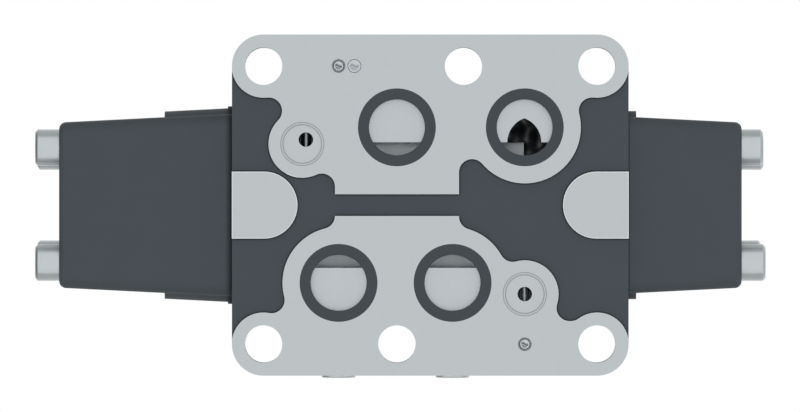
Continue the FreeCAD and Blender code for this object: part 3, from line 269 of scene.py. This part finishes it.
def shear_mark_painted_shade(name, part, tones):
    """End of a pin or plug cut from bar: a dark wavy line across it and grey either side, the painted shade
    of a shear mark with one dished lip each side.
    """
    made, tree = new_material(name)
    centre = middle(part)
    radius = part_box(part)[1][0] - centre.x
    place = node(tree, "ShaderNodeTexCoord").outputs["Object"]
    moved = node(tree, "ShaderNodeVectorMath", {1: centre}, {0: place}, operation="SUBTRACT").outputs[0]
    turned = node(tree, "ShaderNodeMapping", {"Rotation": (0, 0, MARK_TURN)}, {"Vector": moved}).outputs[0]
    parts = node(tree, "ShaderNodeSeparateXYZ", {}, {0: turned}).outputs
    phase = node(tree, "ShaderNodeMath", {1: MARK_WAVES}, {0: parts[0]}, operation="MULTIPLY").outputs[0]
    swing = node(tree, "ShaderNodeMath", {}, {0: phase}, operation="SINE").outputs[0]
    curve = node(tree, "ShaderNodeMath", {1: MARK_SWING}, {0: swing}, operation="MULTIPLY").outputs[0]
    beside = node(tree, "ShaderNodeMath", {}, {0: parts[1], 1: curve}, operation="SUBTRACT").outputs[0]
    share = node(tree, "ShaderNodeMapRange", {"From Min": -MARK_REACH, "From Max": MARK_REACH},
                 {"Value": beside})
    mark = node(tree, "ShaderNodeValToRGB", {}, {0: share.outputs[0]})
    stops = mark.color_ramp.elements
    while len(stops) < len(MARK_STOPS):
        stops.new(0.5)
    for stop, (position, tone) in zip(stops, MARK_STOPS):
        stop.position = position
        stop.color = linear(tones[tone])
    drift = mottle(tree, tones[1], tones[2], 2 * MM)[1]
    flat = node(tree, "ShaderNodeVectorMath", {1: (1, 1, 0)}, {0: moved}, operation="MULTIPLY").outputs[0]
    out = node(tree, "ShaderNodeVectorMath", {}, {0: flat}, operation="LENGTH").outputs["Value"]
    reach = {"From Min": MARK_START * radius, "From Max": MARK_END * radius}
    border = node(tree, "ShaderNodeMapRange", reach, {"Value": out}).outputs[0]
    sources = {0: border, 6: mark.outputs[0]}
    colour = node(tree, "ShaderNodeMix", {7: linear(tones[2])}, sources, data_type="RGBA").outputs[2]
    finish(tree, colour, drift, (0.3, 0.4), grain_normal(tree, 0.5 * MM, 0.003 * MM), Metallic=1.0)
    return made


MILLED = ("#bcc2c4", "#c0c6c8")
PAINT = ("#3f4549", "#43494e")
PAINT_WAVE = (16 * MM, 0.35 * MM)
SHADOW = "#0c0f11"
SHEARED_STEEL = ("#565c5f", "#868d90", "#c6ccce")
SHEARED_PLUG = ("#8d9497", "#a6adb0", "#c3c9cb")

# Grey cast iron, face milled: a flat silver grey with hardly any grain, and a thin pale rim painted on its
# broken edge as a highlight.
milled_iron = bare_metal("milled_cast_iron", MILLED, (0.34, 0.42), 0.5 * MM, 0.004 * MM,
                         rim=("#c9cfd2", 0.4 * MM))
# The same iron on the end pads, whose painted highlight along the broken edges is wider and paler.
milled_pad = bare_metal("milled_cast_iron_pad", MILLED, (0.34, 0.42), 0.5 * MM, 0.004 * MM,
                        rim=("#eef1f3", 1.0 * MM))
# The same iron in a turned recess, with painted shade as a dark line in its corners.
turned_recess = bare_metal("turned_cast_iron_recess", MILLED, (0.32, 0.4), 0.5 * MM, 0.003 * MM,
                           corner=("#7b8285", 1.0 * MM))
# The same iron bored out: a little darker and smoother.
bored_iron = bare_metal("bored_cast_iron", ("#b4babd", "#bec4c6"), (0.3, 0.4), 0.6 * MM, 0.004 * MM)
# The same iron faced at a port's end: nearly a mirror for the bright mouth of the port.
port_floor = bare_metal("faced_cast_iron_floor", ("#bac0c3", "#bfc5c8"), (0.12, 0.18), 0.4 * MM, 0.001 * MM)
# Oily top of a drilled hole: a pale painted streak standing for the light at its mouth mirrored there.
drilled_iron_painted_streak = bare_metal("oiled_drilling", ("#a4aaad", "#b4babd"), (0.16, 0.22), 0.3 * MM, 0.002 * MM)
# Oily side of the same hole: a grey painted streak, where the pale one fades.
drilled_side_painted_streak = bare_metal("oiled_drilling_side", ("#8a9194", "#979ea1"), (0.2, 0.26), 0.3 * MM, 0.002 * MM)
# Cored cast iron of the chambers, painted far paler than iron as painted light, so that it shows the same
# dull grey all over where little light reaches.
cored_iron_painted_light = coated("chamber_iron_painted_light", ("#e4eaed", "#e9eff2"), (0.5, 0.6), 1.2 * MM, 0.05 * MM)
# As-cast iron in its dark scale, wet with oil, so that soft streaks of light show on its lumps; nearly black,
# it also serves as painted shade in drillings and deep ducts.
scale_and_painted_shade = coated("oily_casting_scale_and_painted_shade", ("#07090b", "#0d1113"), (0.16, 0.22), 1.5 * MM, 0.006 * MM, 0.8,
                    wave=(10 * MM, 2.6 * MM))
# Painted shade in the gap round a pin: a thin dull grey ring.
pin_gap_painted_shade = coated("painted_shade_round_pin", ("#7d8487", "#888f92"), (0.4, 0.5), 0.5 * MM, 0.01 * MM)
# Dull grey machine paint over sand-cast iron: fine orange peel over slow waves, and painted shade in its
# inner corners.
grey_paint = coated("grey_paint_on_casting", PAINT, (0.52, 0.64), 1.1 * MM, 0.06 * MM, 0.22,
                    wave=PAINT_WAVE, corner=(SHADOW, 1.7 * MM))
# The same paint on the left cover, whose painted shade turns it black where the cover meets the housing, with
# a softer painted shade in its corners.
joint_shaded_paint = coated("grey_paint_with_painted_joint_shade", PAINT, (0.52, 0.64), 1.1 * MM, 0.06 * MM, 0.22,
                     wave=PAINT_WAVE, corner=("#363c40", 1.7 * MM), joint=(LEFT_JOINT, 4 * MM, "#030405"))
# The same paint on the smaller, finer casting of the pilot valve: smoother, with painted shade in its corners
# and a painted highlight on its worn edges.
pilot_paint = coated("grey_paint_on_pilot_casting", PAINT, (0.42, 0.52), 0.9 * MM, 0.03 * MM,
                     wave=(9 * MM, 0.12 * MM), corner=(SHADOW, 1.2 * MM), rim=("#555c62", 0.6 * MM))
# Zinc plated steel, as on screws: pale, smooth and slightly blue.
zinc_steel = bare_metal("zinc_plated_steel", ("#bec4c6", "#c6ccce"), (0.26, 0.34), 0.4 * MM, 0.003 * MM)
# Bright zinc plated steel, as on plugs: nearly white.
bright_zinc = bare_metal("bright_zinc_plated_steel", ("#dde2e4", "#e4e9eb"), (0.3, 0.38), 0.4 * MM,
                         0.003 * MM)
# Brass blades under a coat of tin: soft silver with a trace of yellow.
tinned_brass = bare_metal("tinned_brass_blade", ("#c4c2b8", "#d0cec6"), (0.22, 0.3), 0.3 * MM, 0.002 * MM)
# Ground steel: finer and brighter, from the wheel.
ground_steel = bare_metal("ground_steel", ("#b6bcbf", "#c2c8ca"), (0.18, 0.26), 0.3 * MM, 0.002 * MM)
# Spring steel straight from the coiler: blued and oily.
oiled_spring = bare_metal("oiled_spring_steel", ("#4d5052", "#5d6062"), (0.3, 0.4), 0.4 * MM, 0.003 * MM)
# Turned brass: warm yellow, with the fine shine of a sharp tool.
turned_brass = bare_metal("turned_brass", ("#c8a868", "#d0b070"), (0.25, 0.32), 0.3 * MM, 0.002 * MM)
# Moulded nitrile rubber: dull dark grey with no gloss.
nitrile = coated("moulded_nitrile_rubber", ("#3b4145", "#40464a"), (0.6, 0.72), 0.5 * MM, 0.01 * MM, 0.25)
# Moulded black nylon of the coils: satin, with a spark-eroded grain, painted shade in its corners, and a
# painted highlight along its handled edges.
coil_nylon = coated("moulded_black_nylon", ("#202223", "#27292a"), (0.42, 0.54), 0.6 * MM, 0.03 * MM, 0.45,
                    wave=(20 * MM, 0.2 * MM), corner=("#0a0b0b", 1.2 * MM), rim=("#3a3d3e", 0.6 * MM))
# The same nylon on the nuts: finer, with painted shade in its corners, and a painted highlight on the edges
# of the ribs that fingers turn.
nut_nylon = coated("moulded_black_nylon_nut", ("#232526", "#2a2c2d"), (0.4, 0.5), 0.4 * MM, 0.02 * MM, 0.45,
                   corner=("#0a0b0b", 0.8 * MM), rim=("#414445", 0.3 * MM))
# Moulded grey nylon of the plug bases: a shade lighter than the coils, with painted shade in its corners and
# a painted highlight along its edges.
base_nylon = coated("moulded_grey_nylon", ("#2d2f31", "#343638"), (0.4, 0.5), 0.4 * MM, 0.02 * MM, 0.45,
                    corner=("#0d0e0e", 1.0 * MM), rim=("#484b4d", 0.4 * MM))
# Steel pins and an iron plug sheared from bar: bright ends with the painted shade of a wavy shear mark.
pin_end_rear = shear_mark_painted_shade("sheared_pin_end_rear", "locating_pin_rear", SHEARED_STEEL)
pin_end_front = shear_mark_painted_shade("sheared_pin_end_front", "locating_pin_front", SHEARED_STEEL)
plug_end = shear_mark_painted_shade("sheared_plug_end", "face_plug", SHEARED_PLUG)

# What the nodes of each of the record's material slots look like
SLOT_FINISHES = {
    "pilot_casting": pilot_paint,
    "screw_steel": zinc_steel,
    "plug_steel": bright_zinc,
    "pin_steel": zinc_steel,
    "ground_steel": ground_steel,
    "spring_steel": oiled_spring,
    "seal_rubber": nitrile,
    "plated_steel": zinc_steel,
    "override_brass": turned_brass,
    "coil_plastic": coil_nylon,
    "nut_plastic": nut_nylon,
}

# Nodes that don't look like the rest of their slot
NODE_FINISHES = {
    "end_cover_left": joint_shaded_paint,
    "end_cover_right": grey_paint,
    "locating_pin_rear": pin_end_rear,
    "locating_pin_front": pin_end_front,
    "face_plug": plug_end,
}


def dress(name, chooser, finishes):
    """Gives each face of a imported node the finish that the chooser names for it."""
    mesh = nodes[name].data
    mesh.materials.clear()
    for surface in finishes:
        mesh.materials.append(surface)
    for face in mesh.polygons:
        face.material_index = finishes.index(chooser(face))


def away(spot, places):
    """How far a point is, seen from below, from the nearest of some places."""
    return min(math.hypot(spot.x - x, spot.y - y) for x, y in places)


def in_cross_drilling(spot):
    """Whether a point is on the wall of the drilling that crosses a pilot drilling, inside the block."""
    low, high = CROSS_DRILL_HEIGHTS
    return low < spot.z < high and min(abs(spot.x - x) for x, _ in PILOT_DRILLINGS) < CROSS_DRILL_RADIUS


def inside_block(spot):
    """Whether a point is well inside the block, where its walls are as cast."""
    low, high = INSIDE_HEIGHTS
    return abs(spot.y) < BLOCK_HALF_WIDTH and low < spot.z < high and abs(spot.x) < BLOCK_HALF_LENGTH


def housing_finish(face):
    """Machined faces are bare iron, cast faces inside keep their dark scale, which also serves as painted
    shade, the chambers are painted pale as painted light, and the outside is painted.
    """
    spot = face.center
    slope = face.normal.z
    level = abs(slope) > LEVEL
    from_port = away(spot, MAIN_PORTS)
    from_axis = math.hypot(spot.y, spot.z - AXIS_HEIGHT)
    if away(spot, PINS) < PIN_MOUTH_RADIUS:
        return pin_gap_painted_shade
    # A cross drilling is coloured by the slope of its faces: a pale painted streak, grey painted side
    # streaks, and dark scale as painted shade between and beyond them.
    if in_cross_drilling(spot):
        if slope < STREAK_SLOPE:
            return drilled_iron_painted_streak
        return drilled_side_painted_streak if SIDE_SLOPES[0] < slope < SIDE_SLOPES[1] else scale_and_painted_shade
    # Past its mouth, a pilot drilling takes the dark scale as painted shade.
    if away(spot, PILOT_DRILLINGS) < DRILLING_RADIUS + SLACK and spot.z > DRILLING_MOUTH:
        return scale_and_painted_shade
    # The groove floor beside the seal takes the rubber's dark grey, so that the thin gap at the seal's edge
    # shows as painted shade.
    if from_port < SEAL_GROOVE_RADIUS and level and abs(spot.z - SEAL_GROOVE_DEPTH) < SLACK:
        return nitrile
    if away(spot, PILOT_RECESSES) < RECESS_RADIUS and spot.z < RELIEF_DEPTH - SLACK:
        return turned_recess
    if level and spot.z < RELIEF_DEPTH - SLACK:
        return milled_pad if abs(spot.x) > END_PAD_START and abs(spot.y) < END_PAD_HALF_WIDTH else milled_iron
    if level and spot.z > PILOT_PAD_TOP - SLACK:
        return milled_iron
    if from_axis < CHAMBER_RADIUS + SLACK and abs(spot.y) < CHAMBER_RADIUS:
        return cored_iron_painted_light
    if level and from_port < PORT_RADIUS + SLACK and abs(spot.z - PORT_DEPTH) < PORT_FLOOR_BAND:
        return port_floor
    if from_port < PORT_RADIUS + SLACK and spot.z < PORT_DEPTH + SLACK:
        return bored_iron
    if from_port < SEAL_GROOVE_RADIUS + SLACK and spot.z < SEAL_GROOVE_DEPTH:
        return bored_iron
    if away(spot, SCREW_HOLES) < SCREW_HOLE_RADIUS + SLACK:
        return milled_iron
    if away(spot, SCREW_HOLES) < SEAT_RADIUS + SLACK and spot.z > RELIEF_DEPTH:
        return milled_iron
    return scale_and_painted_shade if inside_block(spot) else grey_paint


for row in subparts:
    surface = NODE_FINISHES.get(row["node"], SLOT_FINISHES.get(row["material_slot"]))
    if surface:
        dress(row["node"], lambda face: surface, [surface])
dress("main_body", housing_finish, [
    grey_paint, milled_iron, milled_pad, turned_recess, bored_iron, port_floor, drilled_iron_painted_streak, drilled_side_painted_streak,
    cored_iron_painted_light, scale_and_painted_shade, pin_gap_painted_shade, nitrile,
])

BLADE_HEIGHT = 10 * MM
BLADE_FOOT = 0.1 * MM


def seat_of_plug(side):
    """Middle of the top of a coil's plug base, where the blades stand."""
    spot = middle("connector_base_" + side)
    spot.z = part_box("connector_base_" + side)[1][2] - BLADE_HEIGHT
    return spot


# The plug bases are nylon, with tinned blades that stand on it
for side in ("left", "right"):
    foot = seat_of_plug(side).z + BLADE_FOOT
    dress("connector_base_" + side, lambda face: tinned_brass if face.center.z > foot else base_nylon,
          [tinned_brass, base_nylon])


# Small pieces on the solenoids

MERGE = 0.001 * MM


def add_piece(name, shape, surface):
    """Makes a finished shape a piece of the housing."""
    bmesh.ops.remove_doubles(shape, verts=shape.verts, dist=MERGE)
    bmesh.ops.recalc_face_normals(shape, faces=shape.faces)
    mesh = bpy.data.meshes.new(name)
    shape.to_mesh(mesh)
    shape.free()
    mesh.materials.append(surface)
    obj = bpy.data.objects.new(name, mesh)
    bpy.context.collection.objects.link(obj)
    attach(obj, "housing")


def lift(shape, height):
    """Makes a flat shape a plate of the given height."""
    grown = bmesh.ops.extrude_face_region(shape, geom=shape.faces[:])["geom"]
    top = [item for item in grown if isinstance(item, bmesh.types.BMVert)]
    bmesh.ops.translate(shape, vec=(0, 0, height), verts=top)


RIB_COUNT = 28
RIB_PROUD = 0.7 * MM
RIB_ROOT = 0.4 * MM
RIB_GAP = 0.05 * MM
RIB_INSET = 1.2 * MM
RIB_EDGE = 0.3 * MM
RIB_TIP = 2 * MM
# Points round a nut for each rib, of which the first two lie on its tip
RIB_POINTS = 4


def grip_ribs(side):
    """Ribs round a coil nut, for turning it by hand."""
    low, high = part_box("coil_nut_" + side)
    radius = (high[1] - low[1]) / 2
    width = high[0] - low[0] - 2 * RIB_INSET
    points = RIB_POINTS * RIB_COUNT
    shape = bmesh.new()
    bmesh.ops.create_circle(shape, segments=points, radius=radius - RIB_ROOT)
    outer = bmesh.ops.create_circle(shape, segments=points, radius=radius + RIB_GAP)["verts"]
    for vert in outer:
        step = round(math.atan2(vert.co.y, vert.co.x) / (2 * math.pi) * points) % RIB_POINTS
        if step < 2:
            vert.co *= (radius + RIB_PROUD) / vert.co.length
    bmesh.ops.bridge_loops(shape, edges=shape.edges[:])
    lift(shape, width)
    tips = [
        edge for edge in shape.edges
        if edge.calc_length() < RIB_TIP and min(v.co.xy.length for v in edge.verts) > radius
        and len({round(v.co.z / MM, 2) for v in edge.verts}) == 1
    ]
    bmesh.ops.bevel(shape, geom=tips, offset=RIB_EDGE, segments=2, profile=0.5, affect="EDGES", material=-1)
    bmesh.ops.translate(shape, vec=(0, 0, -width / 2), verts=shape.verts)
    bmesh.ops.rotate(shape, matrix=Matrix.Rotation(math.pi / 2, 3, "Y"), verts=shape.verts)
    bmesh.ops.translate(shape, vec=middle("coil_nut_" + side), verts=shape.verts)
    add_piece("coil_nut_ribs_" + side, shape, nut_nylon)


GASKET_EDGE = 0.8 * MM
GASKET_WALL = 2.6 * MM
GASKET_THICK = 1.2 * MM
GASKET_ROUND = 2.5 * MM


def plug_gasket(side):
    """Flat rubber frame that lies on the plug base, round its blades."""
    low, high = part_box("connector_base_" + side)
    half = (high[0] - low[0]) / 2 - GASKET_EDGE
    shape = bmesh.new()
    bmesh.ops.create_grid(shape, x_segments=1, y_segments=1, size=half)
    bmesh.ops.bevel(shape, geom=shape.verts[:], offset=GASKET_ROUND, segments=5, profile=0.5,
                    affect="VERTICES", material=-1)
    wall = bmesh.ops.inset_region(shape, faces=shape.faces[:], thickness=GASKET_WALL,
                                  use_boundary=True, use_even_offset=True)["faces"]
    opening = [face for face in shape.faces if face not in wall]
    bmesh.ops.delete(shape, geom=opening, context="FACES")
    lift(shape, GASKET_THICK)
    bmesh.ops.translate(shape, vec=seat_of_plug(side), verts=shape.verts)
    add_piece("plug_gasket_" + side, shape, nitrile)


BUSH_BORE = 1.3 * MM
BUSH_RADIUS = 2.8 * MM
BUSH_HEIGHT = 1.6 * MM
BUSH_EDGE = 0.35 * MM


def screw_bush(side):
    """Brass bush in the middle of the plug base, for the plug's screw."""
    shape = bmesh.new()
    outline = [
        (BUSH_BORE, -BUSH_EDGE),
        (BUSH_BORE, BUSH_HEIGHT - BUSH_EDGE),
        (BUSH_BORE + BUSH_EDGE, BUSH_HEIGHT),
        (BUSH_RADIUS - BUSH_EDGE, BUSH_HEIGHT),
        (BUSH_RADIUS, BUSH_HEIGHT - BUSH_EDGE),
        (BUSH_RADIUS, -BUSH_EDGE),
    ]
    verts = [shape.verts.new((radius, 0, height)) for radius, height in outline]
    for first, second in zip(verts, verts[1:] + verts[:1]):
        shape.edges.new((first, second))
    bmesh.ops.spin(shape, geom=shape.verts[:] + shape.edges[:], cent=(0, 0, 0), axis=(0, 0, 1),
                   angle=2 * math.pi, steps=32, use_merge=True)
    bmesh.ops.translate(shape, vec=seat_of_plug(side), verts=shape.verts)
    add_piece("plug_screw_bush_" + side, shape, turned_brass)


for side in ("left", "right"):
    grip_ribs(side)
    plug_gasket(side)
    screw_bush(side)


# Floor, light and camera

def stage_plane(name, size, height, surface):
    """A square plane of the studio, which isn't part of the object."""
    mesh = bpy.data.meshes.new(name)
    shape = bmesh.new()
    bmesh.ops.create_grid(shape, x_segments=1, y_segments=1, size=size / 2)
    bmesh.ops.translate(shape, vec=(0, 0, height), verts=shape.verts)
    shape.to_mesh(mesh)
    shape.free()
    mesh.materials.append(surface)
    obj = bpy.data.objects.new(name, mesh)
    bpy.context.collection.objects.link(obj)
    return obj


WHITE = "#ffffff"
FLOOR_PALE = "#f3f3f3"
FLOOR_SIZE = 12
FLOOR_DROP = -0.2 * MM


def floor_surface():
    """Pale floor that is clear from underneath, because the photograph looks up from there."""
    made, tree = new_material("pale_floor")
    below = node(tree, "ShaderNodeNewGeometry").outputs["Backfacing"]
    pale = node(tree, "ShaderNodeBsdfDiffuse", {"Color": linear(FLOOR_PALE)}).outputs[0]
    clear = node(tree, "ShaderNodeBsdfTransparent").outputs[0]
    mixed = node(tree, "ShaderNodeMixShader", {}, {0: below, 1: pale, 2: clear}).outputs[0]
    node(tree, "ShaderNodeOutputMaterial", {}, {"Surface": mixed})
    return made


# The floor takes the object's shadow, and neither lights nor mirrors in it
floor = stage_plane("floor", FLOOR_SIZE, FLOOR_DROP, floor_surface())
for kind in ("shadow", "diffuse", "glossy", "transmission"):
    setattr(floor, "visible_" + kind, False)

SCREEN_AWAY = 2.0
SCREEN_FOOT = -0.62
SCREEN_TOP = 4.0


def screen(name, centre, turn, levels):
    """Grey studio screen that only reflections show, paler towards its top."""
    made, tree = new_material(name)
    low, high = levels
    place = node(tree, "ShaderNodeTexCoord").outputs["Generated"]
    height = node(tree, "ShaderNodeSeparateXYZ", {}, {0: place}).outputs[1]
    level = node(tree, "ShaderNodeMapRange", {"To Min": low, "To Max": high}, {"Value": height}).outputs[0]
    glow = node(tree, "ShaderNodeEmission", {"Color": linear(WHITE)}, {"Strength": level}).outputs[0]
    node(tree, "ShaderNodeOutputMaterial", {}, {"Surface": glow})
    obj = stage_plane(name, 1, 0, made)
    upright = Matrix.Rotation(turn, 4, "Z") @ Matrix.Rotation(math.pi / 2, 4, "X")
    obj.matrix_world = Matrix.Translation(centre) @ upright @ Matrix.Diagonal(
        (2 * SCREEN_AWAY, SCREEN_TOP - SCREEN_FOOT, 1, 1))
    for kind in ("camera", "diffuse", "transmission", "shadow"):
        setattr(obj, "visible_" + kind, False)


screen_middle = (SCREEN_FOOT + SCREEN_TOP) / 2
screen("rear_screen", (0, -SCREEN_AWAY, screen_middle), 0, (0.5, 0.9))
screen("front_screen", (0, SCREEN_AWAY, screen_middle), 0, (0.5, 0.9))
screen("left_screen", (-SCREEN_AWAY, 0, screen_middle), math.pi / 2, (0.22, 0.5))
screen("right_screen", (SCREEN_AWAY, 0, screen_middle), math.pi / 2, (0.65, 0.9))

scene = bpy.context.scene
scene.view_settings.view_transform = "Standard"

# The world is white to the camera and in reflections, and lights the object softly
FILL = 0.2
world = bpy.data.worlds.new("studio")
scene.world = world
world.use_nodes = True
tree = world.node_tree
tree.nodes.clear()
rays = node(tree, "ShaderNodeLightPath")
white = rays.outputs["Is Camera Ray"]
for kind in ("Is Glossy Ray", "Is Transmission Ray"):
    pair = {0: white, 1: rays.outputs[kind]}
    white = node(tree, "ShaderNodeMath", {}, pair, operation="MAXIMUM").outputs[0]
strength = node(tree, "ShaderNodeMapRange", {"To Min": FILL, "To Max": 1.0}, {"Value": white}).outputs[0]
background = node(tree, "ShaderNodeBackground", {"Color": linear(WHITE)}, {"Strength": strength}).outputs[0]
node(tree, "ShaderNodeOutputWorld", {}, {"Surface": background})


def sun(name, direction, level, width):
    """A sun of some degrees across, shining along a direction. Level 1 fully lights a face square to it."""
    data = bpy.data.lights.new(name, "SUN")
    data.energy = level * math.pi
    data.angle = math.radians(width)
    obj = bpy.data.objects.new(name, data)
    obj.rotation_euler = Vector(direction).to_track_quat("-Z", "Y").to_euler()
    obj.visible_glossy = False
    bpy.context.collection.objects.link(obj)


sun("under_light", (0, 0, 1), 0.82, 12)
sun("key_light", (0.5, 0.6, -1.2), 0.6, 30)
sun("side_light", (-0.8, -0.5, -0.5), 0.35, 40)
sun("left_light", (0.8, -0.6, -0.4), 0.25, 40)
sun("right_light", (-0.8, 0.6, -0.4), 0.25, 40)

camera_data = bpy.data.cameras.new("photo_camera")
camera = bpy.data.objects.new("photo_camera", camera_data)
bpy.context.collection.objects.link(camera)
camera_data.lens = LENS
camera_data.sensor_width = SENSOR
distance = PHOTO_WIDTH / PIXELS_PER_MM * MM * LENS / SENSOR
centre_x = (PHOTO_WIDTH / 2 - PHOTO_ORIGIN[0]) / PIXELS_PER_MM * MM
centre_y = (PHOTO_HEIGHT / 2 - PHOTO_ORIGIN[1]) / PIXELS_PER_MM * MM
camera.matrix_world = Matrix((
    (1, 0, 0, centre_x),
    (0, -1, 0, centre_y),
    (0, 0, -1, -distance),
    (0, 0, 0, 1),
))
camera_data.clip_end = distance * 3
scene.camera = camera
